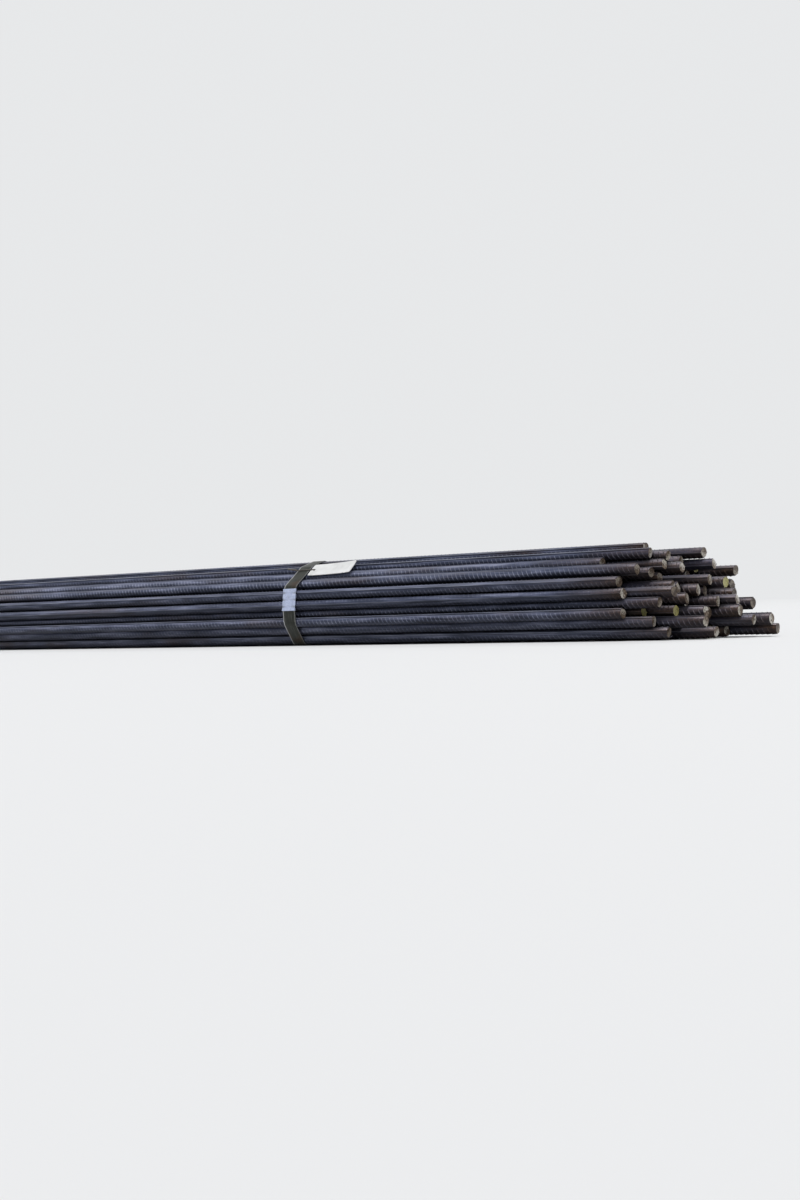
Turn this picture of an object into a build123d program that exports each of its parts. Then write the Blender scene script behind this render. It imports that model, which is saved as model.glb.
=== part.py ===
"""A bundle of ribbed reinforcing bars, tied by two flat steel straps and lying on a level floor.

X runs along the bars and Z is up. The origin is on the floor, under the middle of the bundle.
The straps lie flat under the lowest bars, and one of them carries a blank tag on a wire loop.
Bars are drawn as plain rounds of their nominal size, which is the size that gives their weight.
"""

import cmath
import math
import os
import random
from itertools import combinations

from build123d import *

os.makedirs("parts", exist_ok=True)

# Bars
bar_diameter = 20.0
bar_length = 6000.0
bar_count = 65
rib_gap = 0.6
slide_range = 55.0
low_bars_lead = 75.0
back_bars_lead = 50.0

# Straps, and the crimped seals that join their lapped ends
strap_width = 32.0
strap_thickness = 0.9
strap_from_end = 850.0
strap_clearance = 0.3
lap_past_seal = 22.0
seal_length = 45.0
seal_thickness = 1.2
seal_notch_radius = 3.0
seal_notch_spacing = 14.0
seal_facing = 165.0

# The tag and the wire loop that holds it to its strap
tag_length = 116.0
tag_width = 34.0
tag_thickness = 1.0
tag_corner_radius = 4.0
tag_from_strap = 5.0
tag_hole_diameter = 6.0
tag_hole_from_end = 9.0
tag_facing = 131.0
wire_diameter = 1.8
wire_corner_cut = 1.0

# Packing, in spacings of bars that touch or as shares of the pile's height
first_pile_height = 0.62
first_pile_spread = 0.62
first_pile_jitter = 0.2
first_pull = 0.03
first_rounds = 70
heart_height = 0.34
end_shift = 0.55
end_spread = 1.03
end_pull = 0.01
end_rounds = 30
parting_rounds = 80
floor_snap = 0.03
packing_seed = 11
slide_seed = 5

bar_radius = bar_diameter / 2
bar_spacing = bar_diameter + rib_gap
floor_to_bars = strap_thickness + strap_clearance
strap_inner = bar_radius + strap_clearance
strap_outer = strap_inner + strap_thickness
strap_x = bar_length / 2 - strap_from_end
seal_height = 2 * strap_thickness + strap_clearance
seal_reach = seal_height + seal_thickness - strap_thickness
pile_size = math.sqrt(bar_count)
layer_height = math.sqrt(3) / 2


def push_apart(centres, rounds):
    """Parts bars that overlap and lifts them off the floor, with one spacing as the unit."""
    centres = list(centres)
    count = len(centres)
    for _ in range(rounds):
        for i in range(count):
            for j in range(i + 1, count):
                step = centres[j] - centres[i]
                if abs(step.real) < 1 and abs(step.imag) < 1 and 0 < abs(step) < 1:
                    push = step / abs(step) * (1 - abs(step)) / 2
                    centres[i] -= push
                    centres[j] += push
        centres = [complex(c.real, max(c.imag, 0.5)) for c in centres]
    return centres


def drawn_in(centres, share):
    """Draws the bars a share of their way to the heart of the pile, as straps and their weight do."""
    heart = complex(0, heart_height * pile_size)
    return [c - share * (c - heart) for c in centres]


def parted_along(far, tag, rounds):
    """Parts straight bars that run between two sections, at both ends and midway."""
    for _ in range(rounds):
        middle = [(a + b) / 2 for a, b in zip(far, tag)]
        moves = [after - before for before, after in zip(middle, push_apart(middle, 1))]
        far = push_apart([c + move for c, move in zip(far, moves)], 1)
        tag = push_apart([c + move for c, move in zip(tag, moves)], 1)
    return far, tag


def first_pile(chance):
    """Sets the bars out in a spiral and lets them settle into one tight section."""
    golden_turn = math.pi * (3 - math.sqrt(5))
    middle = complex(0, first_pile_height * pile_size)
    centres = []
    for k in range(bar_count):
        turn = golden_turn * k + first_pile_jitter * chance.random()
        centres.append(middle + cmath.rect(first_pile_spread * math.sqrt(k + 0.5), turn))
    for k in range(first_rounds):
        centres = push_apart(drawn_in(centres, first_pull * (1 - k / first_rounds)), 3)
    return centres


def shifted(centres, chance):
    """Moves each bar a little at random and opens the section sideways."""
    spread = [complex(c.real * end_spread, c.imag) for c in centres]
    return [c + cmath.rect(end_shift * chance.random(), math.tau * chance.random()) for c in spread]


def packed_ends():
    """Centres of the bars at the far end and at the tag end, in spacings above the floor."""
    chance = random.Random(packing_seed)
    pile = first_pile(chance)
    far = shifted(pile, chance)
    tag = shifted(pile, chance)
    for k in range(end_rounds):
        share = end_pull * (1 - k / end_rounds)
        far, tag = parted_along(drawn_in(far, share), drawn_in(tag, share), 2)
    far, tag = parted_along(far, tag, parting_rounds)
    far, tag = laid_flat(far), laid_flat(tag)
    middle = [(a + b) / 2 for a, b in zip(far, tag)]
    closest = min(abs(a - b) for section in (far, middle, tag) for a, b in combinations(section, 2))
    side = (min(c.real for c in middle) + max(c.real for c in middle)) / 2
    return [opened(section, side, closest) for section in (far, tag)]


def laid_flat(centres):
    """Lays bars that all but touch the floor flat on it."""
    return [complex(c.real, 0.5 if c.imag < 0.5 + floor_snap else c.imag) for c in centres]


def opened(centres, side, closest):
    """Centres a section and opens it until its closest bars are one spacing apart."""
    return [complex((c.real - side) / closest, 0.5 + (c.imag - 0.5) / closest) for c in centres]


def section_at(x):
    """Centres of the bars in the section at x, in millimetres across the bundle and above the floor."""
    share = 0.5 + x / bar_length
    return [in_section(a + (b - a) * share) for a, b in zip(far_end, tag_end)]


def in_section(centre):
    """Turns a centre in spacings into millimetres, across the bundle with its seals and above the floor."""
    across = centre.real * bar_spacing + seal_reach / 2
    return complex(across, floor_to_bars + bar_radius + (centre.imag - 0.5) * bar_spacing)


def outer_loop(centres):
    """Corners of the tightest loop round the given centres, counter-clockwise from the lowest."""
    corner = min(centres, key=lambda c: (round(c.imag, 6), c.real))
    heading = complex(1, 0)
    loop = []
    while corner not in loop:
        loop.append(corner)
        others = [c for c in centres if c != corner]
        corner = min(others, key=lambda c: (turn_to(c - loop[-1], heading), -abs(c - loop[-1])))
        heading = corner - loop[-1]
    return loop


def turn_to(step, heading):
    """Counter-clockwise turn from a heading to a step, where a step straight ahead counts as none."""
    return round((cmath.phase(step / heading) + 1e-6) % math.tau, 5)


def side_facing(loop, degrees):
    """The straight side of a loop that best faces a direction: its two corners and its normal."""
    wanted = cmath.rect(1, math.radians(degrees))
    sides = zip(loop, loop[1:] + loop[:1])
    return max(sides, key=lambda side: ((side[1] - side[0]) * -1j / abs(side[1] - side[0]) / wanted).real)


def loop_area(corners, stand_off):
    """The area inside a loop that keeps the given distance from all corner centres."""
    with BuildSketch() as area:
        with BuildLine():
            Polyline(*[(c.real, c.imag) for c in corners], close=True)
        make_face()
        offset(amount=stand_off)
    return area.sketch


def bar_layers():
    """The numbers of the bars in each layer, from the lowest layer up."""
    layers = {}
    for number, (far, tag) in enumerate(zip(far_end, tag_end)):
        height = (far.imag + tag.imag) / 2 - 0.5
        layers.setdefault(round(height / layer_height), []).append(number)
    return [layers[level] for level in sorted(layers)]


def bar_slides():
    """How far each bar has slid along the bundle, where low bars and bars at the back lead."""
    chance = random.Random(slide_seed)
    slides = []
    for centre in tag_end:
        height_share = centre.imag / pile_size - 0.5
        back_share = centre.real / pile_size
        lead = 2 * back_bars_lead * back_share - 2 * low_bars_lead * height_share
        slides.append(lead + slide_range * chance.uniform(-1, 1))
    middle = (min(slides) + max(slides)) / 2
    return [slide - middle for slide in slides]


def make_bars():
    """One node for each layer of bars, since they are alike and lie apart."""
    slides = bar_slides()
    far_section = section_at(-bar_length / 2)
    tag_section = section_at(bar_length / 2)
    for level, numbers in enumerate(bar_layers(), start=1):
        name = f"bars_layer_{level}"
        bars = [make_bar(far_section[n], tag_section[n], slides[n]) for n in numbers]
        export_step(Compound(label=name, children=bars), f"parts/{name}.step")


def make_bar(far, tag, slide):
    """One straight bar with square-cut ends, slid along its own line."""
    start = Vector(-bar_length / 2, far.real, far.imag)
    end = Vector(bar_length / 2, tag.real, tag.imag)
    along = (end - start).normalized()
    with BuildPart() as bar:
        with BuildSketch(Plane(origin=start + along * slide, z_dir=along)):
            Circle(bar_radius)
        extrude(amount=bar_length)
    bar.part.label = "bar"
    return bar.part


def strap_run(x):
    """The loop that a strap at x is drawn round, its seal's flat included, and that flat's middle and run."""
    loop = outer_loop(section_at(x))
    first, last = side_facing(loop, seal_facing)
    along = (last - first) / abs(last - first)
    middle = (first + last) / 2
    half_seal = along * seal_length / 2
    return outer_loop(loop + [middle - half_seal, middle + half_seal]), middle, along


def make_strap(name, x):
    """A flat strap drawn tight round the bars, with its lapped ends held by a crimped seal."""
    loop, middle, along = strap_run(x)
    normal = along * -1j
    lap_length = seal_length + 2 * lap_past_seal
    lap_middle = middle + normal * strap_outer
    lap_turn = math.degrees(cmath.phase(along))

    with BuildSketch() as lap:
        add(loop_area(loop, strap_outer + strap_thickness))
        add(loop_area(loop, strap_outer), mode=Mode.SUBTRACT)
        with Locations((lap_middle.real, lap_middle.imag)):
            Rectangle(lap_length, lap_length / 2, rotation=lap_turn, mode=Mode.INTERSECT)

    with BuildPart() as strap:
        with BuildSketch(Plane.YZ.offset(x - strap_width / 2)):
            add(loop_area(loop, strap_outer))
            add(loop_area(loop, strap_inner), mode=Mode.SUBTRACT)
            add(lap.sketch)
        extrude(amount=strap_width)
    strap.part.label = f"strap_{name}"
    export_step(strap.part, f"parts/strap_{name}.step")

    seal_width = strap_width + 2 * (strap_clearance + seal_thickness)
    seat = middle + normal * strap_inner
    seat_plane = Plane(
        origin=(x, seat.real, seat.imag), x_dir=(1, 0, 0), z_dir=(0, normal.real, normal.imag)
    )
    with BuildPart() as seal:
        with BuildSketch(seat_plane):
            Rectangle(seal_width, seal_length)
        extrude(amount=seal_height + seal_thickness)
        with BuildSketch(seat_plane):
            Rectangle(strap_width + 2 * strap_clearance, seal_length)
        extrude(amount=seal_height, mode=Mode.SUBTRACT)
        with BuildSketch(seat_plane):
            with GridLocations(seal_width, seal_notch_spacing, 2, 3):
                Circle(seal_notch_radius)
            Rectangle(strap_width + 2 * strap_clearance, seal_length, mode=Mode.SUBTRACT)
        extrude(amount=seal_height, mode=Mode.SUBTRACT)
    seal.part.label = f"seal_{name}"
    export_step(seal.part, f"parts/seal_{name}.step")


def make_tag():
    """A blank tag on the shoulder of the bundle, whose wire loop passes its strap between two bars."""
    loop = strap_run(strap_x)[0]
    first, last = side_facing(loop, tag_facing)
    along = (last - first) / abs(last - first)
    normal = along * -1j
    seat = first + along * bar_spacing / 2 + normal * strap_inner
    tag_start = strap_x + strap_width / 2 + tag_from_strap
    tag_plane = Plane(
        origin=(tag_start, seat.real, seat.imag), x_dir=(1, 0, 0), z_dir=(0, normal.real, normal.imag)
    )
    with BuildPart() as tag:
        with BuildSketch(tag_plane):
            with Locations((tag_length / 2, 0)):
                RectangleRounded(tag_length, tag_width, tag_corner_radius)
            with Locations((tag_hole_from_end, 0)):
                Circle(tag_hole_diameter / 2, mode=Mode.SUBTRACT)
        extrude(amount=tag_thickness)
    tag.part.label = "tag"
    export_step(tag.part, "parts/tag.step")

    beside_wire = wire_diameter / 2 + strap_clearance
    loop_start = -tag_from_strap - strap_width - beside_wire
    loop_bottom = -beside_wire
    loop_top = strap_thickness + beside_wire
    wire_plane = Plane(origin=tag_plane.origin, x_dir=(1, 0, 0), z_dir=-tag_plane.y_dir)
    with BuildSketch(wire_plane) as span:
        with Locations(((loop_start + tag_hole_from_end) / 2, (loop_bottom + loop_top) / 2)):
            Rectangle(tag_hole_from_end - loop_start, loop_top - loop_bottom)
        chamfer(span.vertices(), wire_corner_cut)
    route = span.sketch.faces()[0].outer_wire()
    with BuildPart() as wire:
        with BuildSketch(Plane(origin=route @ 0, z_dir=route % 0)):
            Circle(wire_diameter / 2)
        sweep(path=route, transition=Transition.RIGHT)
    wire.part.label = "tag_wire"
    export_step(wire.part, "parts/tag_wire.step")


far_end, tag_end = packed_ends()
make_bars()
make_strap("tag_end", strap_x)
make_strap("far_end", -strap_x)
make_tag()
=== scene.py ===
"""Dresses the rebar bundle: ribbed bars with cut ends, straps, seals, tag and wire, in a studio.

All sizes are in metres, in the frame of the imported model. X runs along the bars and Z is up.
"""

import math

import bmesh
import bpy
import numpy as np
from mathutils import Matrix, Vector


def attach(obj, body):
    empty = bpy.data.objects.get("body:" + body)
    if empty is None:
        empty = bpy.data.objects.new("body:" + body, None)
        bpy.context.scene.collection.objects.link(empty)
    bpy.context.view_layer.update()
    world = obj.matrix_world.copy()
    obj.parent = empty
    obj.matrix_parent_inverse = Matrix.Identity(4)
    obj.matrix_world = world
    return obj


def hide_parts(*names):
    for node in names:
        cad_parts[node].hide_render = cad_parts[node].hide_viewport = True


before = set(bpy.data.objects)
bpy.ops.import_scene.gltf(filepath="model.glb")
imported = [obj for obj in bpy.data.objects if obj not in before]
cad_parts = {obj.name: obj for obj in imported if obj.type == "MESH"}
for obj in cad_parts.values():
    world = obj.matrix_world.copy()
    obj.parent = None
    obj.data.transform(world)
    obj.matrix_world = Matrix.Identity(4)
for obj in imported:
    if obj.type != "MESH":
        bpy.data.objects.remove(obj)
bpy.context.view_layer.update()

# Bars: a plain core, two lengthwise ribs and two rows of slanted crescent ribs. A crescent is built
# from sections at some shares of the way round its side, and is narrower at its tips.
BAR_SEED = 4
CORE_RADIUS = 0.0095
RIB_RADIUS = 0.01095
RIB_PITCH = 0.010
RIB_SLANT = math.radians(62)
RIB_HALF_WIDTH = 0.0017
RIB_TIP_WIDTH = 0.45
RIB_SECTIONS = (0.13, 0.37, 0.63, 0.87)
RIB_FULLNESS = 0.7
RIB_FOOT_DEPTH = 0.0001
RIB_WEAR = 0.0002
RIB_END_MARGIN = 0.004
RIB_GAP_AT_LONG_RIB = 0.20
LONG_RIB_HALF_ANGLE = 0.075
LONG_RIB_FOOT_ANGLE = 0.125
CORE_SIDES = 24

# Rings along a core: some evenly over its length, and closer ones near each end, where its colour
# changes
CORE_STATIONS = 6
END_ZONE = 0.24
END_ZONE_STATIONS = 7

# Reading the solids: vertices of one section lie closer together along the bar than the spacing.
# Places are rounded to a micrometre, and vertices closer than that are one.
RING_SPACING = 0.002
PLACE_DECIMALS = 6
WELD_DISTANCE = 1e-6

# Which ribs show from outside: the share of a bar's side that is tried, and in how many directions.
# Near the bundle's ends all ribs are built, because the staggered bars let one see in.
SIDE_SHARES = (0.1, 0.9)
SIDE_DIRECTIONS = 9
TIP_ZONE = 0.12

# Painted shade between the bars: the fan of directions in which a place looks out, and how far it
# looks
LOOK_TURNS = (-0.8, 0.0, 0.8)
LOOK_REACH = 0.028
NEAR_BARS = 0.07

# Shading: edges sharper than these are hard
SHARP_BAR_EDGE = math.radians(50)
SHARP_EDGE = math.radians(40)

# Cut sheet: faces flatter than one angle are joined, and edges sharper than the other are rounded
FLAT_ANGLE = math.radians(0.5)
ROUNDED_ANGLE = math.radians(35)

# Sheared ends: how far the face leans, and the rounding of its edge, larger where the blade bit.
# The torn middle starts at a share of the radius. Each of its waves has a share of its depth, a
# count round the face and a shift by the bar's own lean.
END_LEAN = math.radians(7)
END_ROUNDING = 0.0004
BLADE_ROUNDING = 0.0016
TORN_RING = 0.62
TORN_DEPTH = 0.0004
TORN_WAVES = ((0.6, 3, 9), (0.4, 7, 20))

# Camera: its place comes from the photograph's vanishing point and the bundle's near end, and its
# height and roll from the slopes of the bundle's edges. The zoom is a longer lens from that place.
PHOTO_WIDTH = 800
PHOTO_FOCAL_PIXELS = 900
SENSOR_WIDTH = 36.0
CAMERA_ZOOM = 1.75
CAMERA_PLACE = Vector((4.34, -2.41, 0.075))
CAMERA_TARGET = Vector((2.36, 0.0, 0.085))
CAMERA_ROLL = math.radians(-2)

# Studio: the floor fades into the background between two distances from the bundle. Each lamp has
# the place it shines from, its strength and its spread in degrees.
BACKGROUND = (0.80, 0.81, 0.82)
FLOOR_SIZE = 120
FLOOR_DROP = 0.0005
FLOOR_FADE = (4.0, 14.0)
LAMPS = {
    "key": ((0.3, -0.8, 3.0), 2.15, 12),
    "end_light": ((3.0, -1.4, 1.6), 0.50, 24),
    "back_light": ((-0.6, 2.6, 1.9), 0.40, 24),
}

# Straps: their middle and half width along X, and how far from each edge the rubbed metal with its
# painted highlight starts and is full
STRAP_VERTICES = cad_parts["strap_tag_end"].data.vertices
STRAP_X = sum(v.co.x for v in STRAP_VERTICES) / len(STRAP_VERTICES)
STRAP_HALF_WIDTH = 0.016
STRAP_EDGE_ROUNDING = 0.0003
STRAP_WEAR_AND_HIGHLIGHT_INNER = (0.0028, 0.0006)
STRAP_WEAR_AND_HIGHLIGHT_OUTER = (0.0015, 0.0004)

# Seals: notches along the strip, how deep and wide the face is pressed in beside each, the share of
# that in the seal's middle, the share of the painted shade of the crimps there, and the grid that
# the face is cut into. The face looks away from the middle of the bundle's section, given as Y and
# Z.
BUNDLE_MIDDLE = (0, 0.085)
SEAL_EDGE_ROUNDING = 0.0004
SEAL_NOTCHES = (-0.014, 0.0, 0.014)
SEAL_CRIMP_DEPTH = 0.0010
SEAL_CRIMP_WIDTH = 0.0028
SEAL_MIDDLE_PRESS = 0.45
SEAL_MIDDLE_SHADE = 0.35
SEAL_HALF_WIDTH = 0.0165
SEAL_FACE_DEPTH = 0.0006
SEAL_CUTS_ALONG = np.arange(-0.0215, 0.022, 0.001)
SEAL_CUTS_ACROSS = np.arange(-0.0150, 0.0151, 0.0025)

# Tag: the grid that it is cut into, and how far it lifts, twists and dents
TAG_HALF_WIDTH = 0.017
TAG_CUT_SPACING = 0.008
TAG_CUT_SHARES = (-0.6, -0.2, 0.2, 0.6)
TAG_CURL = 0.005
TAG_TWIST = 0.0012
TAG_DENT = 0.0006
TAG_DENT_WAVE = 5

# Wire: the loop's corners are a share of its height, in steps of some degrees. Its tail is two
# strands that wind at a multiple of the wire's radius.
WIRE_RADIUS = 0.0009
WIRE_CORNER = 0.7
WIRE_CORNER_STEP = 18
WIRE_TAIL = 0.022
WIRE_TAIL_TURNS = 4
WIRE_TAIL_RISE = 0.004
WIRE_TAIL_POINTS = 40
WIRE_TAIL_WINDING = 1.2
TUBE_SIDES = 10
TUBE_FIRST_SIDE = (0.31, 0.17, 0.93)

BAR_NODES = sorted(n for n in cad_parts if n.startswith("bars_layer_"))


def bar_lines(node):
    """The centreline of each bar in a node, as points from the far end to the tag end."""
    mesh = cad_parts[node].data
    points = np.array([v.co for v in mesh.vertices])
    rounded = np.round(points, PLACE_DECIMALS)
    first, welded = np.unique(rounded, axis=0, return_index=True, return_inverse=True)[1:]
    points = points[first]
    welded = welded.reshape(-1)
    group = np.arange(len(points))

    def root(i):
        while group[i] != i:
            group[i] = group[group[i]]
            i = group[i]
        return i

    for edge in mesh.edges:
        a, b = (root(welded[v]) for v in edge.vertices)
        group[a] = b
    roots = np.array([root(i) for i in range(len(points))])
    lines = []
    for name in np.unique(roots):
        own = points[roots == name]
        own = own[np.argsort(own[:, 0])]
        breaks = np.nonzero(np.diff(own[:, 0]) > RING_SPACING)[0] + 1
        rings = np.split(own, breaks)
        lines.append(np.array([ring.mean(axis=0) for ring in rings]))
    return sorted(lines, key=lambda line: line[0, 1])


class Bar:
    """One bar: where it lies, how it is rolled about its length, and its own shade."""

    def __init__(self, line, number, chance):
        self.line = line
        self.number = number
        self.low, self.high = line[0, 0], line[-1, 0]
        self.roll = chance.uniform(0, math.tau)
        self.phase = chance.uniform(0, RIB_PITCH)
        self.tone = chance.uniform(0, 1)
        self.end_tone = chance.uniform(0, 1)
        self.lean = chance.uniform(-1, 1, 4)

    def centre(self, x):
        """The centre of the bar's section at each x."""
        along, y, z = self.line.T
        return np.stack([np.interp(x, along, y), np.interp(x, along, z)], axis=-1)

    def place(self, x, angle, radius):
        """Points on the bar, from x, the angle round it and the distance from its centre."""
        centre = self.centre(x)
        y = centre[..., 0] + radius * np.cos(angle)
        z = centre[..., 1] + radius * np.sin(angle)
        return np.stack([x, y, z], axis=-1)


def core_profile():
    """Angles and radii of the bar's section without its slanted ribs."""
    angles = []
    radii = []
    plain = np.linspace(LONG_RIB_FOOT_ANGLE, math.pi - LONG_RIB_FOOT_ANGLE, CORE_SIDES // 2 - 2)
    for half in (0.0, math.pi):
        angles += [half - LONG_RIB_HALF_ANGLE, half + LONG_RIB_HALF_ANGLE]
        radii += [RIB_RADIUS, RIB_RADIUS]
        angles += list(half + plain)
        radii += [CORE_RADIUS] * len(plain)
    return np.array(angles), np.array(radii)


def end_rings(angles, radii, end, inward, lean):
    """The rings of a sheared end, as x and radius, and how far each place is on the blade's side.

    The rings are the rim of the leaning face, the start of its rounded edge and the rim of its torn
    middle.
    """
    most = np.hypot(*lean)
    turned = lean[0] * np.cos(angles) + lean[1] * np.sin(angles)
    blade_side = turned / most
    slope = math.tan(END_LEAN) * (turned * radii + most * RIB_RADIUS)
    rounding = END_ROUNDING + BLADE_ROUNDING * np.clip(blade_side, 0, 1) ** 2
    rim = (end + inward * slope, radii - rounding)
    edge = (end + inward * (slope + rounding), radii)
    inner = radii * TORN_RING
    torn = 1
    for (share, waves, shift), own in zip(TORN_WAVES, lean):
        torn = torn + share * np.sin(waves * angles + shift * own)
    inner_slope = math.tan(END_LEAN) * (turned * inner + most * RIB_RADIUS)
    dip = (end + inward * (inner_slope + TORN_DEPTH * torn), inner)
    return rim, edge, dip, blade_side


def core_mesh(bar):
    """One bar's core, from its far end to its tag end.

    Returns its vertices, the faces of its sides and of its ends, and for each vertex the angle
    round the bar, 1 on a lengthwise rib and else 0, and how far it is on the blade's side of an
    end.
    """
    angles, radii = core_profile()
    count = len(angles)
    angles = angles + bar.roll
    far_rim, far_edge, far_dip, far_side = end_rings(angles, radii, bar.low, 1, bar.lean[:2])
    tag_rim, tag_edge, tag_dip, tag_side = end_rings(angles, radii, bar.high, -1, bar.lean[2:])
    stations = np.linspace(bar.low, bar.high, CORE_STATIONS)[1:-1]
    in_zone = np.linspace(0, END_ZONE, END_ZONE_STATIONS)[1:]
    far_zone = [(far_edge[0] + step, radii) for step in in_zone]
    tag_zone = [(tag_edge[0] - step, radii) for step in reversed(in_zone)]
    between = [(np.full(count, x), radii) for x in stations]
    rings = [far_rim, far_edge, *far_zone, *between, *tag_zone, tag_edge, tag_rim]
    faces = []
    for k in range(len(rings) - 1):
        for i in range(count):
            j = (i + 1) % count
            faces.append((k * count + i, k * count + j, (k + 1) * count + j, (k + 1) * count + i))
    top = (len(rings) - 1) * count
    far_inner = len(rings) * count
    tag_inner = far_inner + count
    far_middle = tag_inner + count
    tag_middle = far_middle + 1
    caps = []
    for i in range(count):
        j = (i + 1) % count
        caps.append((far_inner + i, far_inner + j, j, i))
        caps.append((far_middle, far_inner + j, far_inner + i))
        caps.append((top + i, top + j, tag_inner + j, tag_inner + i))
        caps.append((tag_inner + i, tag_inner + j, tag_middle))
    parts = [bar.place(x, angles, r) for x, r in [*rings, far_dip, tag_dip]]
    for dip in (far_dip, tag_dip):
        parts.append(bar.place(np.array([dip[0].mean()]), np.zeros(1), np.zeros(1)))
    vertices = np.concatenate(parts)
    rise = np.tile(np.where(radii > CORE_RADIUS, 1.0, 0.0), len(rings) + 2)
    turn = np.tile(angles, len(rings) + 2)
    side = np.zeros((len(rings) + 2, count))
    side[0], side[-3] = far_side, tag_side
    side[-2], side[-1] = far_side * TORN_RING, tag_side * TORN_RING
    values = [np.append(value, np.zeros(2)) for value in (turn, rise, side.ravel())]
    return vertices, faces, caps, *values


def rib_template():
    """One closed crescent rib, as x, share of the way round its side and share of its height."""
    height = np.sin(math.pi * np.array(RIB_SECTIONS)) ** RIB_FULLNESS
    along = [(0.0, 0.0, 0.0)]
    for share, rise in zip(RIB_SECTIONS, height):
        width = RIB_TIP_WIDTH + (1 - RIB_TIP_WIDTH) * rise
        along += [(-width, share, 0.0), (0.0, share, rise), (width, share, 0.0)]
    along.append((0.0, 1.0, 0.0))
    faces = [(0, 2, 1), (0, 3, 2), (0, 1, 3)]
    for k in range(len(RIB_SECTIONS) - 1):
        a = 1 + 3 * k
        b = a + 3
        for i, j in ((0, 1), (1, 2), (2, 0)):
            faces += [(a + i, a + j, b + j), (a + i, b + j, b + i)]
    end = len(along) - 1
    a = end - 3
    faces += [(end, a, a + 1), (end, a + 1, a + 2), (end, a + 2, a)]
    return np.array(along), np.array(faces)


def rib_meshes(bar, side, places, chance):
    """All the ribs of one side of a bar, at the given places along it.

    Returns their vertices and faces, and for each vertex the angle round the bar and the share of
    the rib's height.
    """
    template, template_faces = rib_template()
    foot = CORE_RADIUS * math.cos(math.pi / CORE_SIDES) - RIB_FOOT_DEPTH
    start = bar.roll + side * math.pi + RIB_GAP_AT_LONG_RIB
    sweep = math.pi - 2 * RIB_GAP_AT_LONG_RIB
    angle = start + sweep * template[:, 1]
    slant = (template[:, 1] - 0.5) * sweep * CORE_RADIUS / math.tan(RIB_SLANT)
    count = len(places)
    height = RIB_RADIUS - foot - chance.uniform(0, RIB_WEAR, count)
    x = places[:, None] + slant[None, :] + template[None, :, 0] * RIB_HALF_WIDTH
    radius = foot + template[None, :, 2] * height[:, None]
    angle = np.broadcast_to(angle, x.shape)
    vertices = bar.place(x, angle, radius).reshape(-1, 3)
    faces = (template_faces[None] + np.arange(count)[:, None, None] * len(template)).reshape(-1, 3)
    return vertices, faces, angle.reshape(-1), np.tile(template[:, 2], count)


def openness(bar, bars, x, angle):
    """How open each place on a bar is: 0 deep between its neighbours, 1 where nothing is near."""
    centre = bar.centre(x)
    seat = centre + CORE_RADIUS * np.stack([np.cos(angle), np.sin(angle)], axis=-1)
    middle = bar.line.mean(axis=0)[1:]
    others = [b for b in bars if b is not bar]
    near = [b for b in others if np.hypot(*(b.line.mean(axis=0)[1:] - middle)) < NEAR_BARS]
    total = np.zeros(len(x))
    for turn in LOOK_TURNS:
        out = np.stack([np.cos(angle + turn), np.sin(angle + turn)], axis=-1)
        free = np.full(len(x), LOOK_REACH)
        for other in near:
            step = other.centre(x) - seat
            ahead = (step * out).sum(axis=-1)
            depth = CORE_RADIUS**2 - ((step**2).sum(axis=-1) - ahead**2)
            met = (x > other.low) & (x < other.high) & (ahead > 0) & (depth > 0)
            free = np.where(met, np.minimum(free, ahead - np.sqrt(np.abs(depth))), free)
        total += np.clip(free, 0, LOOK_REACH) / LOOK_REACH
    return total / len(LOOK_TURNS)


def open_sides(bars, x):
    """The pairs of bar number and rib side that can be seen from outside the bundle at x."""
    there = [b for b in bars if b.low < x < b.high]
    centres = np.array([b.centre(np.array(x)) for b in there])
    seen = set()
    for k, bar in enumerate(there):
        others = np.delete(centres, k, axis=0) - centres[k]
        for side in (0, 1):
            shares = np.linspace(*SIDE_SHARES, SIDE_DIRECTIONS)
            angles = bar.roll + side * math.pi + shares * math.pi
            for angle in angles:
                out = np.array([math.cos(angle), math.sin(angle)])
                ahead = others @ out
                aside = np.abs(others @ np.array([-out[1], out[0]]))
                if not np.any((ahead > 0) & (aside < CORE_RADIUS)):
                    seen.add((bar.number, side))
                    break
    return seen


def seen_rib_places(bars):
    """For each bar and side, the places along it where a rib shows."""
    low = max(b.low for b in bars) + TIP_ZONE
    high = min(b.high for b in bars) - TIP_ZONE
    edges = sorted({b.low for b in bars} | {b.high for b in bars} | {low, high})
    places = {}
    for start, end in zip(edges[:-1], edges[1:]):
        tips = end <= low or start >= high
        seen = open_sides(bars, (start + end) / 2)
        for bar in bars:
            if not (bar.low < (start + end) / 2 < bar.high):
                continue
            for side in (0, 1):
                if not tips and (bar.number, side) not in seen:
                    continue
                margin = RIB_HALF_WIDTH + RIB_END_MARGIN
                first = math.ceil((max(start, bar.low + margin) - bar.phase) / RIB_PITCH)
                last = math.floor((min(end, bar.high - margin) - bar.phase) / RIB_PITCH)
                row = np.arange(first, last + 1) * RIB_PITCH + bar.phase
                places.setdefault((bar.number, side), []).append(row)
    rounded = {key: np.round(np.concatenate(rows), PLACE_DECIMALS) for key, rows in places.items()}
    return {key: np.unique(row) for key, row in rounded.items()}


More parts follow.
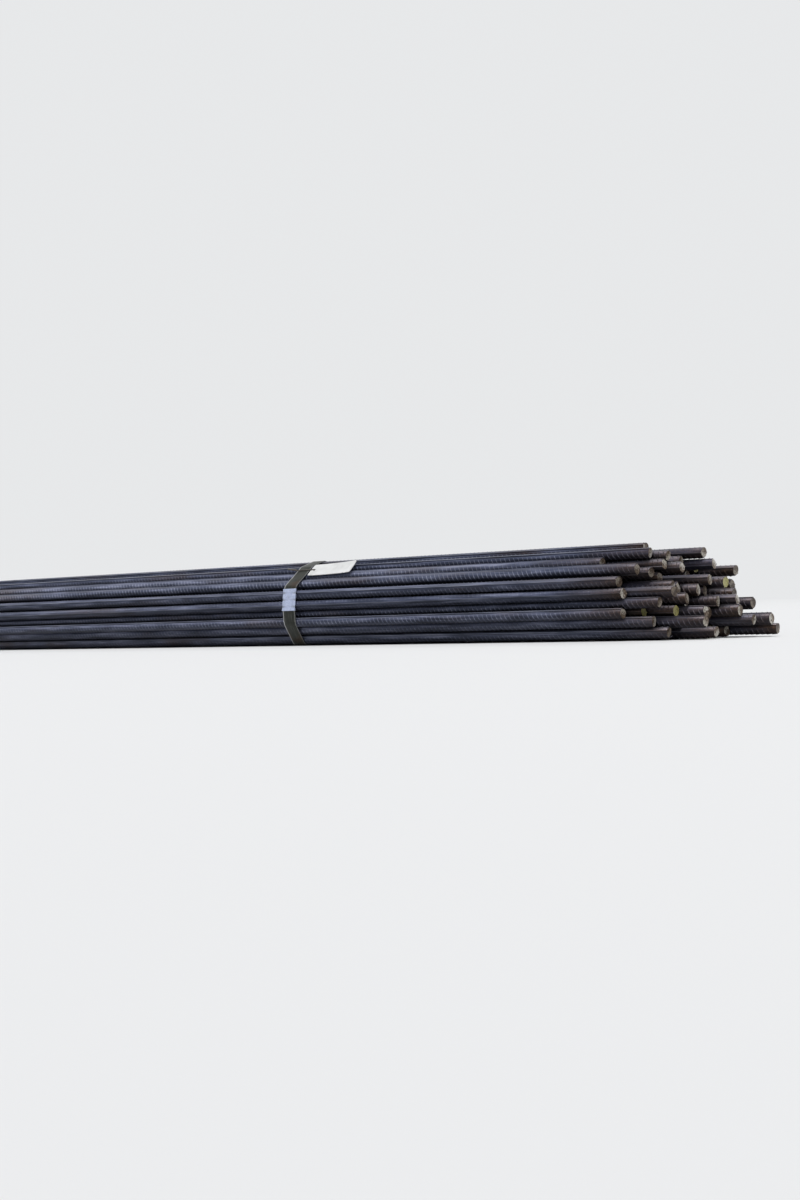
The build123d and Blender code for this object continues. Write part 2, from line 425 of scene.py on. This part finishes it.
def build_layer(name, bars, all_bars, places, chance):
    """One mesh with all the bars of a layer, which stands for that layer's node."""
    vertices = []
    faces = []
    end_faces = []
    values = {key: [] for key in ("tone", "end_tone", "rise", "from_end", "openness", "end_side")}
    offset = 0

    def take(bar, own, angle, rise, end_side):
        vertices.append(own)
        values["tone"].append(np.full(len(own), bar.tone))
        values["end_tone"].append(np.full(len(own), bar.end_tone))
        values["rise"].append(rise)
        values["end_side"].append(end_side)
        values["from_end"].append(np.minimum(own[:, 0] - bar.low, bar.high - own[:, 0]))
        values["openness"].append(openness(bar, all_bars, own[:, 0], angle))
        return len(own)

    for bar in bars:
        own, sides, caps, angle, rise, end_side = core_mesh(bar)
        faces += [tuple(offset + i for i in face) for face in sides]
        end_faces += [tuple(offset + i for i in face) for face in caps]
        offset += take(bar, own, angle, rise, end_side)
        for side in (0, 1):
            if (bar.number, side) not in places:
                continue
            own, ribs, angle, rise = rib_meshes(bar, side, places[(bar.number, side)], chance)
            faces += [tuple(face) for face in (ribs + offset).tolist()]
            offset += take(bar, own, angle, rise, np.zeros(len(own)))
    mesh = bpy.data.meshes.new(name)
    mesh.from_pydata(np.concatenate(vertices).tolist(), [], faces + end_faces)
    mesh.materials.append(MATERIALS["bar"])
    mesh.materials.append(MATERIALS["bar_end"])
    slots = np.zeros(len(mesh.polygons), dtype=np.int32)
    slots[len(faces):] = 1
    mesh.polygons.foreach_set("material_index", slots)
    mesh.polygons.foreach_set("use_smooth", np.ones(len(mesh.polygons), dtype=bool))
    mesh.set_sharp_from_angle(angle=SHARP_BAR_EDGE)
    for key, parts in values.items():
        mesh.attributes.new(key, "FLOAT", "POINT").data.foreach_set("value", np.concatenate(parts))
    mesh.update()
    piece = bpy.data.objects.new(name, mesh)
    bpy.context.scene.collection.objects.link(piece)
    return piece


def add_node(tree, kind, inputs=(), **settings):
    """Adds a node, with its settings, and fills or links its inputs."""
    node = tree.nodes.new(kind)
    for key, value in settings.items():
        setattr(node, key, value)
    for key, value in dict(inputs).items():
        if isinstance(value, bpy.types.NodeSocket):
            tree.links.new(value, node.inputs[key])
        else:
            node.inputs[key].default_value = value
    return node


def new_material(name):
    """An empty node material: its tree, its shader and a function that adds nodes to it."""
    material = bpy.data.materials.new(name)
    material.use_nodes = True
    tree = material.node_tree

    def add(kind, inputs=(), **settings):
        return add_node(tree, kind, inputs, **settings)

    return material, tree, tree.nodes["Principled BSDF"], add


def ramp(add, factor, stops):
    """A colour ramp from (place, colour) stops."""
    node = add("ShaderNodeValToRGB", {"Fac": factor})
    elements = node.color_ramp.elements
    while len(elements) < len(stops):
        elements.new(0.5)
    for element, (place, colour) in zip(elements, stops):
        element.position = place
        element.color = (*colour, 1)
    return node.outputs["Color"]


def mixed(add, factor, first, second, blend="MIX"):
    """A mix of two colours, each given as a colour or as a socket."""
    inputs = {"Factor": factor}
    for key, colour in ((6, first), (7, second)):
        inputs[key] = (*colour, 1) if isinstance(colour, tuple) else colour
    return add("ShaderNodeMix", inputs, data_type="RGBA", blend_type=blend).outputs[2]


def attribute(add, name):
    """A value that the mesh carries."""
    return add("ShaderNodeAttribute", attribute_name=name).outputs["Fac"]


def fitted(add, value, low, high, to_low=0.0, to_high=1.0):
    """A value taken from one range to another and kept inside it."""
    inputs = {"Value": value, "From Min": low, "From Max": high}
    inputs.update({"To Min": to_low, "To Max": to_high})
    return add("ShaderNodeMapRange", inputs).outputs["Result"]


def product(add, first, second):
    """Two values multiplied."""
    return add("ShaderNodeMath", {0: first, 1: second}, operation="MULTIPLY").outputs[0]


def place_on(add):
    """The place on the surface, in the piece's own coordinates."""
    return add("ShaderNodeTexCoord").outputs["Object"]


def noise_at(add, place, scale, detail):
    """Plain noise at a place."""
    inputs = {"Vector": place, "Scale": scale, "Detail": detail}
    return add("ShaderNodeTexNoise", inputs).outputs["Fac"]


def bumped(add, height, strength, distance):
    """The surface's normal, tilted by fine bumps."""
    inputs = {"Height": height, "Strength": strength, "Distance": distance}
    return add("ShaderNodeBump", inputs).outputs["Normal"]


def bar_noise(add, scale, stretch):
    """Noise drawn out along the bars by the given factor, and different on each bar."""
    own = product(add, attribute(add, "tone"), 40.0)
    shift = add("ShaderNodeCombineXYZ", {"X": own, "Y": own, "Z": 0.0}).outputs[0]
    moved = add("ShaderNodeVectorMath", {0: place_on(add), 1: shift}, operation="ADD").outputs[0]
    mapping = add("ShaderNodeMapping", {"Vector": moved, "Scale": (1 / stretch, 1, 1)})
    inputs = {"Vector": mapping.outputs["Vector"], "Scale": scale, "Detail": 4.0, "Roughness": 0.6}
    return add("ShaderNodeTexNoise", inputs).outputs["Fac"]


def bar_material():
    """Hot-rolled bar: blue-grey mill scale, each bar its own shade, and brown towards its ends,
    partly rust and partly painted shade. Rib crowns are rubbed lighter with a painted highlight,
    and painted shade darkens the gaps between bars and their undersides.
    """
    material, tree, shader, add = new_material("bar_mill_scale")
    tone = attribute(add, "tone")
    streaks = bar_noise(add, 150.0, 14.0)
    patches = bar_noise(add, 14.0, 4.0)
    fine = bar_noise(add, 620.0, 2.5)
    scale = ramp(
        add,
        streaks,
        [(0.28, (0.024, 0.029, 0.05)), (0.5, (0.078, 0.09, 0.148)), (0.72, (0.23, 0.252, 0.37))],
    )
    shade = ramp(
        add, tone, [(0.0, (0.52, 0.54, 0.60)), (0.5, (0.86, 0.86, 0.86)), (1.0, (1.25, 1.22, 1.16))]
    )
    toned = mixed(add, 1.0, scale, shade, "MULTIPLY")
    # Rib crowns rubbed lighter, partly a painted highlight
    wear_and_highlight = product(add, attribute(add, "rise"), fitted(add, streaks, 0.35, 0.65, 0.1, 0.55))
    crowned = mixed(add, wear_and_highlight, toned, (0.27, 0.29, 0.35))
    rusty = fitted(add, patches, 0.55, 0.70, 0.0, 0.6)
    rust_and_shade_brown = ramp(add, fine, [(0.35, (0.024, 0.017, 0.014)), (0.65, (0.098, 0.056, 0.035))])
    patched = mixed(add, rusty, crowned, rust_and_shade_brown)
    # Brown towards the ends: partly rust, partly painted shade
    near_end = fitted(add, attribute(add, "from_end"), 0.01, 0.15, 1.0, 0.0)
    end_rust_and_shade = product(add, near_end, fitted(add, patches, 0.30, 0.60, 0.45, 0.95))
    browned = mixed(add, end_rust_and_shade, patched, rust_and_shade_brown)
    normal = add("ShaderNodeNewGeometry").outputs["Normal"]
    up = add("ShaderNodeSeparateXYZ", {"Vector": normal}).outputs["Z"]
    dust = product(add, fitted(add, up, 0.3, 1.0, 0.0, 0.35), fitted(add, patches, 0.35, 0.6))
    dusted = mixed(add, dust, browned, (0.30, 0.31, 0.37))
    # Painted shade: near black deep between neighbouring bars, where shade falls
    painted_crevice_shade = ramp(
        add,
        attribute(add, "openness"),
        [
            (0.0, (0.02, 0.02, 0.022)),
            (0.4, (0.28, 0.28, 0.28)),
            (0.62, (0.75, 0.75, 0.75)),
            (0.85, (1, 1, 1)),
        ],
    )
    # Painted shade: darker on the bars' undersides
    painted_underside_shade = ramp(
        add,
        fitted(add, up, -1.0, 1.0),
        [(0.0, (0.2, 0.2, 0.2)), (0.45, (0.5, 0.5, 0.5)), (0.68, (1, 1, 1))],
    )
    shaded = mixed(add, 1.0, mixed(add, 1.0, dusted, painted_crevice_shade, "MULTIPLY"), painted_underside_shade, "MULTIPLY")
    tree.links.new(shaded, shader.inputs["Base Color"])
    tree.links.new(fitted(add, streaks, 0.3, 0.7, 0.36, 0.55), shader.inputs["Roughness"])
    shader.inputs["Metallic"].default_value = 0.35
    shader.inputs["Specular IOR Level"].default_value = 0.18
    tree.links.new(bumped(add, fine, 0.35, 0.0004), shader.inputs["Normal"])
    return material


def bar_end_material():
    """Sheared bar ends: bright on the blade's side, where the burnished zone is partly a painted
    glint, torn and brown beyond, a few painted yellow.
    """
    material, tree, shader, add = new_material("bar_cut_end")
    own = attribute(add, "end_tone")
    noise = noise_at(add, place_on(add), 400.0, 7.0)
    torn = ramp(
        add,
        noise,
        [(0.34, (0.06, 0.042, 0.031)), (0.5, (0.16, 0.12, 0.09)), (0.66, (0.34, 0.28, 0.22))],
    )
    # The blade's side is a bright burnished zone, partly a painted glint
    shear_zone_and_glint = ramp(
        add,
        noise,
        [(0.34, (0.34, 0.31, 0.26)), (0.5, (0.56, 0.53, 0.47)), (0.66, (0.76, 0.73, 0.67))],
    )
    ragged = fitted(add, noise, 0.3, 0.7, -0.45, 0.45)
    rough_edge = add("ShaderNodeMath", {0: ragged, 1: attribute(add, "end_side")})
    split = fitted(add, rough_edge.outputs[0], -0.25, 0.35)
    cut = mixed(add, split, torn, shear_zone_and_glint)
    shades = [(0.0, (0.30, 0.25, 0.21)), (0.35, (0.78, 0.75, 0.71)), (0.7, (1, 1, 1))]
    shade = ramp(add, own, shades)
    toned = mixed(add, 1.0, cut, shade, "MULTIPLY")
    paint = product(add, fitted(add, own, 0.92, 0.93), fitted(add, noise, 0.38, 0.5, 0.3, 0.9))
    painted = mixed(add, paint, toned, (0.43, 0.40, 0.14))
    tree.links.new(painted, shader.inputs["Base Color"])
    shader.inputs["Metallic"].default_value = 0.1
    shader.inputs["Roughness"].default_value = 0.45
    tree.links.new(bumped(add, noise, 0.5, 0.0006), shader.inputs["Normal"])
    return material


def strap_material():
    """Dark waxed steel strip, scuffed round its run, and rubbed bright along its edges with a
    painted highlight there, strongest on the edge towards the bundle's middle.
    """
    material, tree, shader, add = new_material("strap_strip")
    place = place_on(add)
    mapping = add("ShaderNodeMapping", {"Vector": place, "Scale": (1, 0.05, 0.05)})
    scuffs = noise_at(add, mapping.outputs["Vector"], 900.0, 5.0)
    blotch = noise_at(add, place, 30.0, 4.0)
    base = ramp(
        add,
        scuffs,
        [(0.32, (0.014, 0.016, 0.013)), (0.55, (0.030, 0.033, 0.027)), (0.75, (0.10, 0.10, 0.092))],
    )
    rusted = mixed(add, fitted(add, blotch, 0.54, 0.68, 0.0, 0.7), base, (0.055, 0.034, 0.022))
    x = add("ShaderNodeSeparateXYZ", {"Vector": place}).outputs["X"]
    from_middle = add("ShaderNodeMath", {0: x}, operation="ABSOLUTE").outputs[0]
    aside = add("ShaderNodeMath", {0: from_middle, 1: STRAP_X}, operation="SUBTRACT").outputs[0]
    # Painted highlight on the rubbed edges: full on the inner edge, weaker on the outer
    start, full = (wear_and_highlight - STRAP_HALF_WIDTH for wear_and_highlight in STRAP_WEAR_AND_HIGHLIGHT_INNER)
    inner_edge = fitted(add, aside, start, full)
    start, full = (STRAP_HALF_WIDTH - wear_and_highlight for wear_and_highlight in STRAP_WEAR_AND_HIGHLIGHT_OUTER)
    outer_edge = fitted(add, aside, start, full, 0.0, 0.35)
    edges = add("ShaderNodeMath", {0: inner_edge, 1: outer_edge}, operation="MAXIMUM").outputs[0]
    wear_and_highlight = product(add, edges, fitted(add, blotch, 0.3, 0.6, 1.0, 0.55))
    edges_rubbed_and_highlit = mixed(add, wear_and_highlight, rusted, (0.66, 0.66, 0.66))
    tree.links.new(edges_rubbed_and_highlit, shader.inputs["Base Color"])
    tree.links.new(fitted(add, scuffs, 0.3, 0.7, 0.34, 0.55), shader.inputs["Roughness"])
    shader.inputs["Metallic"].default_value = 0.3
    shader.inputs["Specular IOR Level"].default_value = 0.25
    tree.links.new(bumped(add, scuffs, 0.25, 0.0003), shader.inputs["Normal"])
    return material


def seal_material():
    """Galvanised sheet of the crimped seal, bluish and bright, with painted shade in its crimps."""
    material, tree, shader, add = new_material("seal_galvanised")
    place = place_on(add)
    cells = add("ShaderNodeTexVoronoi", {"Vector": place, "Scale": 420.0}).outputs["Color"]
    stain = noise_at(add, place, 90.0, 4.0)
    base = ramp(add, cells, [(0.2, (0.43, 0.49, 0.68)), (0.8, (0.55, 0.61, 0.79))])
    stained = mixed(add, fitted(add, stain, 0.55, 0.7, 0.0, 0.30), base, (0.34, 0.35, 0.40))
    # Painted shade in the crimps
    painted_crevice_shade = fitted(add, attribute(add, "pressed"), 0.25, 1.0, 0.0, 0.75)
    crimps_shaded = mixed(add, painted_crevice_shade, stained, (0.17, 0.18, 0.21))
    tree.links.new(crimps_shaded, shader.inputs["Base Color"])
    shader.inputs["Metallic"].default_value = 0.6
    shader.inputs["Roughness"].default_value = 0.30
    tree.links.new(bumped(add, stain, 0.3, 0.0005), shader.inputs["Normal"])
    return material


def tag_material():
    """Pale blank sheet with faint dust."""
    material, tree, shader, add = new_material("tag_pale_sheet")
    noise = noise_at(add, place_on(add), 38.0, 6.0)
    base = ramp(
        add,
        noise,
        [(0.28, (0.62, 0.62, 0.61)), (0.42, (0.74, 0.74, 0.73)), (0.6, (0.82, 0.82, 0.81))],
    )
    tree.links.new(base, shader.inputs["Base Color"])
    shader.inputs["Metallic"].default_value = 0.1
    shader.inputs["Roughness"].default_value = 0.42
    return material


def wire_material():
    """Annealed tie wire."""
    material, tree, shader, add = new_material("wire_annealed")
    noise = noise_at(add, place_on(add), 300.0, 3.0)
    base = ramp(add, noise, [(0.3, (0.07, 0.065, 0.06)), (0.7, (0.2, 0.18, 0.16))])
    tree.links.new(base, shader.inputs["Base Color"])
    shader.inputs["Metallic"].default_value = 0.8
    shader.inputs["Roughness"].default_value = 0.5
    return material


MATERIALS = {
    "bar": bar_material(),
    "bar_end": bar_end_material(),
    "strap": strap_material(),
    "seal": seal_material(),
    "tag": tag_material(),
    "wire": wire_material(),
}


def dress_bars():
    """Ribbed bars in place of each layer's plain rounds."""
    chance = np.random.default_rng(BAR_SEED)
    layers = {}
    bars = []
    for node in BAR_NODES:
        own = [Bar(line, len(bars) + k, chance) for k, line in enumerate(bar_lines(node))]
        layers[node] = own
        bars += own
    places = seen_rib_places(bars)
    for node, own in layers.items():
        piece = build_layer(node.replace("bars_", "ribbed_bars_"), own, bars, places, chance)
        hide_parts(node)
        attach(piece, "root")


def add_piece(name, node, shape, material):
    """Makes a piece from a bmesh, in place of a node of the part."""
    mesh = bpy.data.meshes.new(name)
    shape.normal_update()
    shape.to_mesh(mesh)
    shape.free()
    mesh.materials.append(material)
    mesh.polygons.foreach_set("use_smooth", np.ones(len(mesh.polygons), dtype=bool))
    mesh.set_sharp_from_angle(angle=SHARP_EDGE)
    piece = bpy.data.objects.new(name, mesh)
    bpy.context.scene.collection.objects.link(piece)
    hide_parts(node)
    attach(piece, "root")


def welded_copy(node):
    """The mesh of a node of the part as a bmesh of its own."""
    shape = bmesh.new()
    shape.from_mesh(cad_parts[node].data)
    bmesh.ops.remove_doubles(shape, verts=shape.verts, dist=WELD_DISTANCE)
    return shape


def soften_edges(shape, width):
    """Rounds the sharp edges a little, so that they catch the light as cut sheet does."""
    bmesh.ops.dissolve_limit(shape, angle_limit=FLAT_ANGLE, verts=shape.verts, edges=shape.edges)
    sharp = [e for e in shape.edges if e.is_manifold and e.calc_face_angle() > ROUNDED_ANGLE]
    bmesh.ops.bevel(
        shape, geom=sharp, offset=width, segments=2, profile=0.6, affect="EDGES", clamp_overlap=True
    )
    bmesh.ops.triangulate(shape, faces=shape.faces)


def cut(shape, place, normal):
    """Cuts the faces of a bmesh along a plane and leaves both halves joined."""
    everything = shape.verts[:] + shape.edges[:] + shape.faces[:]
    bmesh.ops.bisect_plane(shape, geom=everything, plane_co=place, plane_no=normal)


def crimp(seal):
    """Presses the face of a seal in beside each notch, and less so towards its middle. It also
    keeps, for each place, the painted shade of the crimps.
    """
    points = np.array([v.co for v in seal.verts])
    middle = (points.min(axis=0) + points.max(axis=0)) / 2
    around = np.linalg.eigh(np.cov(points[:, 1:].T))[1]
    outward = around[:, 0] * np.sign(around[:, 0] @ (middle[1:] - BUNDLE_MIDDLE))
    lengthwise = around[:, 1]
    for step in SEAL_CUTS_ALONG:
        cut(seal, (0, *(middle[1:] + lengthwise * step)), (0, *lengthwise))
    for step in SEAL_CUTS_ACROSS:
        cut(seal, (middle[0] + step, 0, 0), (1, 0, 0))
    face = max((points[:, 1:] - middle[1:]) @ outward)
    pressed = seal.verts.layers.float.new("pressed")
    for vertex in seal.verts:
        place = np.array(vertex.co)
        if (place[1:] - middle[1:]) @ outward < face - SEAL_FACE_DEPTH:
            continue
        along = (place[1:] - middle[1:]) @ lengthwise
        aside = min(1.0, abs(place[0] - middle[0]) / SEAL_HALF_WIDTH)
        apart = [(along - notch) / SEAL_CRIMP_WIDTH for notch in SEAL_NOTCHES]
        press = sum(math.exp(-(share**2)) for share in apart)
        sink = SEAL_CRIMP_DEPTH * press * (SEAL_MIDDLE_PRESS + (1 - SEAL_MIDDLE_PRESS) * aside**2)
        # Painted shade of the crimps, less towards the seal's middle
        painted_crevice_shade = SEAL_MIDDLE_SHADE + (1 - SEAL_MIDDLE_SHADE) * aside**2
        vertex[pressed] = min(1.0, press) * painted_crevice_shade
        vertex.co.y -= sink * outward[0]
        vertex.co.z -= sink * outward[1]
    bmesh.ops.triangulate(seal, faces=seal.faces)


def dress_straps():
    """Straps and seals with softened edges, the seals pressed in at their notches."""
    for end in ("tag_end", "far_end"):
        strap = welded_copy(f"strap_{end}")
        soften_edges(strap, STRAP_EDGE_ROUNDING)
        add_piece(f"worn_strap_{end}", f"strap_{end}", strap, MATERIALS["strap"])
        seal = welded_copy(f"seal_{end}")
        soften_edges(seal, SEAL_EDGE_ROUNDING)
        crimp(seal)
        add_piece(f"crimped_seal_{end}", f"seal_{end}", seal, MATERIALS["seal"])


def dress_tag():
    """The tag as a thin sheet that curls a little away from the bars towards its free end."""
    sheet = welded_copy("tag")
    points = np.array([v.co for v in sheet.verts])
    start, end = points[:, 0].min(), points[:, 0].max()
    flat = points[np.argsort(points[:, 0])]
    across = flat[:, 1:] - flat[:, 1:].mean(axis=0)
    spread = np.linalg.eigh(across.T @ across)[1]
    normal = spread[:, 0] * np.sign(spread[1, 0])
    wide = spread[:, 1] * np.sign(spread[1, 1])
    middle = points[:, 1:].mean(axis=0)
    for x in np.arange(start, end, TAG_CUT_SPACING)[1:]:
        cut(sheet, (x, 0, 0), (1, 0, 0))
    for share in TAG_CUT_SHARES:
        cut(sheet, (0, *(middle + wide * share * TAG_HALF_WIDTH)), (0, *wide))
    for vertex in sheet.verts:
        along = (vertex.co.x - start) / (end - start)
        aside = (np.array(vertex.co)[1:] - middle) @ wide / TAG_HALF_WIDTH
        dent = TAG_DENT * math.sin(TAG_DENT_WAVE * along) * (1 - aside**2)
        lift = TAG_CURL * along**2 + TAG_TWIST * along * aside + dent
        vertex.co.y += lift * normal[0]
        vertex.co.z += lift * normal[1]
    add_piece("curled_tag", "tag", sheet, MATERIALS["tag"])


def tube(shape, path, radius, closed=False):
    """Adds a round wire along a path to a bmesh, as a loop or with closed ends."""
    path = np.array(path)
    if closed:
        ahead = np.roll(path, -1, axis=0) - np.roll(path, 1, axis=0)
    else:
        ahead = np.gradient(path, axis=0)
    ahead /= np.linalg.norm(ahead, axis=1, keepdims=True)
    side = np.cross(ahead[0], TUBE_FIRST_SIDE)
    rings = []
    for point, heading in zip(path, ahead):
        side -= heading * (side @ heading)
        side /= np.linalg.norm(side)
        up = np.cross(heading, side)
        turns = [math.tau * k / TUBE_SIDES for k in range(TUBE_SIDES)]
        outward = [math.cos(turn) * side + math.sin(turn) * up for turn in turns]
        rings.append([shape.verts.new(point + radius * out) for out in outward])
    pairs = list(zip(rings, rings[1:]))
    if closed:
        first = min(range(TUBE_SIDES), key=lambda k: (rings[0][k].co - rings[-1][0].co).length)
        pairs.append((rings[-1], rings[0][first:] + rings[0][:first]))
    else:
        shape.faces.new(list(reversed(rings[0])))
        shape.faces.new(rings[-1])
    for one, two in pairs:
        for k in range(TUBE_SIDES):
            after = (k + 1) % TUBE_SIDES
            shape.faces.new((one[k], one[after], two[after], two[k]))


def dress_wire():
    """The tie wire as a smooth round loop with a twisted tail."""
    points = np.array([v.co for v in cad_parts["tag_wire"].data.vertices])
    low, high = points[:, 0].min() + WIRE_RADIUS, points[:, 0].max() - WIRE_RADIUS
    spread = np.linalg.eigh(np.cov(points[:, 1:].T))[1]
    normal = spread[:, 1] * np.sign(spread[1, 1])
    middle = points[:, 1:].mean(axis=0)
    reach = np.abs((points[:, 1:] - middle) @ normal).max() - WIRE_RADIUS

    def at(x, lift, aside=0.0):
        across = np.array((normal[1], -normal[0]))
        return (x, *(middle + normal * lift + across * aside))

    corner = reach * WIRE_CORNER
    corners = ((high, reach, 0), (low, reach, 90), (low, -reach, 180), (high, -reach, 270))
    path = []
    for x, lift, begin in corners:
        x -= math.copysign(corner, x - (low + high) / 2)
        lift -= math.copysign(corner, lift)
        for degrees in range(begin, begin + 91, WIRE_CORNER_STEP):
            turn = math.radians(degrees)
            path.append(at(x + corner * math.cos(turn), lift + corner * math.sin(turn)))
    wire = bmesh.new()
    tube(wire, path, WIRE_RADIUS, closed=True)
    winding = WIRE_RADIUS * WIRE_TAIL_WINDING
    for strand in (0, 1):
        tail = []
        for share in np.linspace(0, 1, WIRE_TAIL_POINTS):
            angle = share * WIRE_TAIL_TURNS * math.tau + strand * math.pi
            lift = reach + winding * math.sin(angle) + share * WIRE_TAIL_RISE
            tail.append(at(low - WIRE_RADIUS - share * WIRE_TAIL, lift, winding * math.cos(angle)))
        tube(wire, tail, WIRE_RADIUS)
    add_piece("twisted_tag_wire", "tag_wire", wire, MATERIALS["wire"])


def seen_rays(add):
    """1 for rays on which the background shows: from the camera, mirrored or through glass."""
    path = add("ShaderNodeLightPath")
    seen = path.outputs["Is Camera Ray"]
    for kind in ("Is Glossy Ray", "Is Transmission Ray"):
        either = add("ShaderNodeMath", {0: seen, 1: path.outputs[kind]}, operation="MAXIMUM")
        seen = either.outputs[0]
    return seen


def add_floor():
    """A pale matt floor that fades into the pale background far from the bundle."""
    bpy.ops.mesh.primitive_plane_add(size=FLOOR_SIZE, location=(0, 0, -FLOOR_DROP))
    floor = bpy.context.object
    floor.name = "floor"
    material, tree, shader, add = new_material("floor_pale")
    shader.inputs["Base Color"].default_value = (0.80, 0.80, 0.80, 1)
    shader.inputs["Roughness"].default_value = 0.9
    distance = add("ShaderNodeVectorMath", {0: place_on(add)}, operation="LENGTH").outputs["Value"]
    far = product(add, fitted(add, distance, *FLOOR_FADE), seen_rays(add))
    glow = add("ShaderNodeEmission", {"Color": (*BACKGROUND, 1), "Strength": 1.0})
    blend = add("ShaderNodeMixShader", {0: far, 1: shader.outputs[0], 2: glow.outputs[0]})
    tree.links.new(blend.outputs[0], tree.nodes["Material Output"].inputs["Surface"])
    floor.data.materials.append(material)


def add_world():
    """Soft even light, with a pale background where it is seen."""
    world = bpy.data.worlds.new("studio")
    bpy.context.scene.world = world
    world.use_nodes = True
    tree = world.node_tree

    def add(kind, inputs=(), **settings):
        return add_node(tree, kind, inputs, **settings)

    lit = tree.nodes["Background"]
    lit.inputs["Color"].default_value = (0.90, 0.94, 1.0, 1)
    lit.inputs["Strength"].default_value = 0.26
    shown = add("ShaderNodeBackground", {"Color": (*BACKGROUND, 1), "Strength": 1.0})
    blend = add("ShaderNodeMixShader", {0: seen_rays(add), 1: lit.outputs[0], 2: shown.outputs[0]})
    tree.links.new(blend.outputs[0], tree.nodes["World Output"].inputs["Surface"])


def add_light(name, place, energy, spread):
    """An even lamp that shines from the direction of a place, spread over some degrees."""
    lamp = bpy.data.lights.new(name, "SUN")
    lamp.energy = energy
    lamp.angle = math.radians(spread)
    light = bpy.data.objects.new(name, lamp)
    bpy.context.scene.collection.objects.link(light)
    light.rotation_euler = Vector(place).to_track_quat("Z", "Y").to_euler()


def add_studio():
    """Floor, background and lamps."""
    add_floor()
    add_world()
    for name, (place, energy, spread) in LAMPS.items():
        add_light(name, place, energy, spread)


def add_camera():
    """The photograph's view of the bundle's near end, through a longer lens."""
    data = bpy.data.cameras.new("camera")
    data.sensor_fit = "HORIZONTAL"
    data.sensor_width = SENSOR_WIDTH
    data.lens = SENSOR_WIDTH * PHOTO_FOCAL_PIXELS * CAMERA_ZOOM / PHOTO_WIDTH
    data.clip_end = 100
    camera = bpy.data.objects.new("camera", data)
    bpy.context.scene.collection.objects.link(camera)
    camera.location = CAMERA_PLACE
    aim = (CAMERA_TARGET - CAMERA_PLACE).to_track_quat("-Z", "Y").to_matrix()
    camera.rotation_euler = (aim @ Matrix.Rotation(CAMERA_ROLL, 3, "Z")).to_euler()
    bpy.context.scene.camera = camera


dress_bars()
dress_straps()
dress_tag()
dress_wire()
add_studio()
add_camera()
bpy.context.scene.view_settings.view_transform = "Standard"
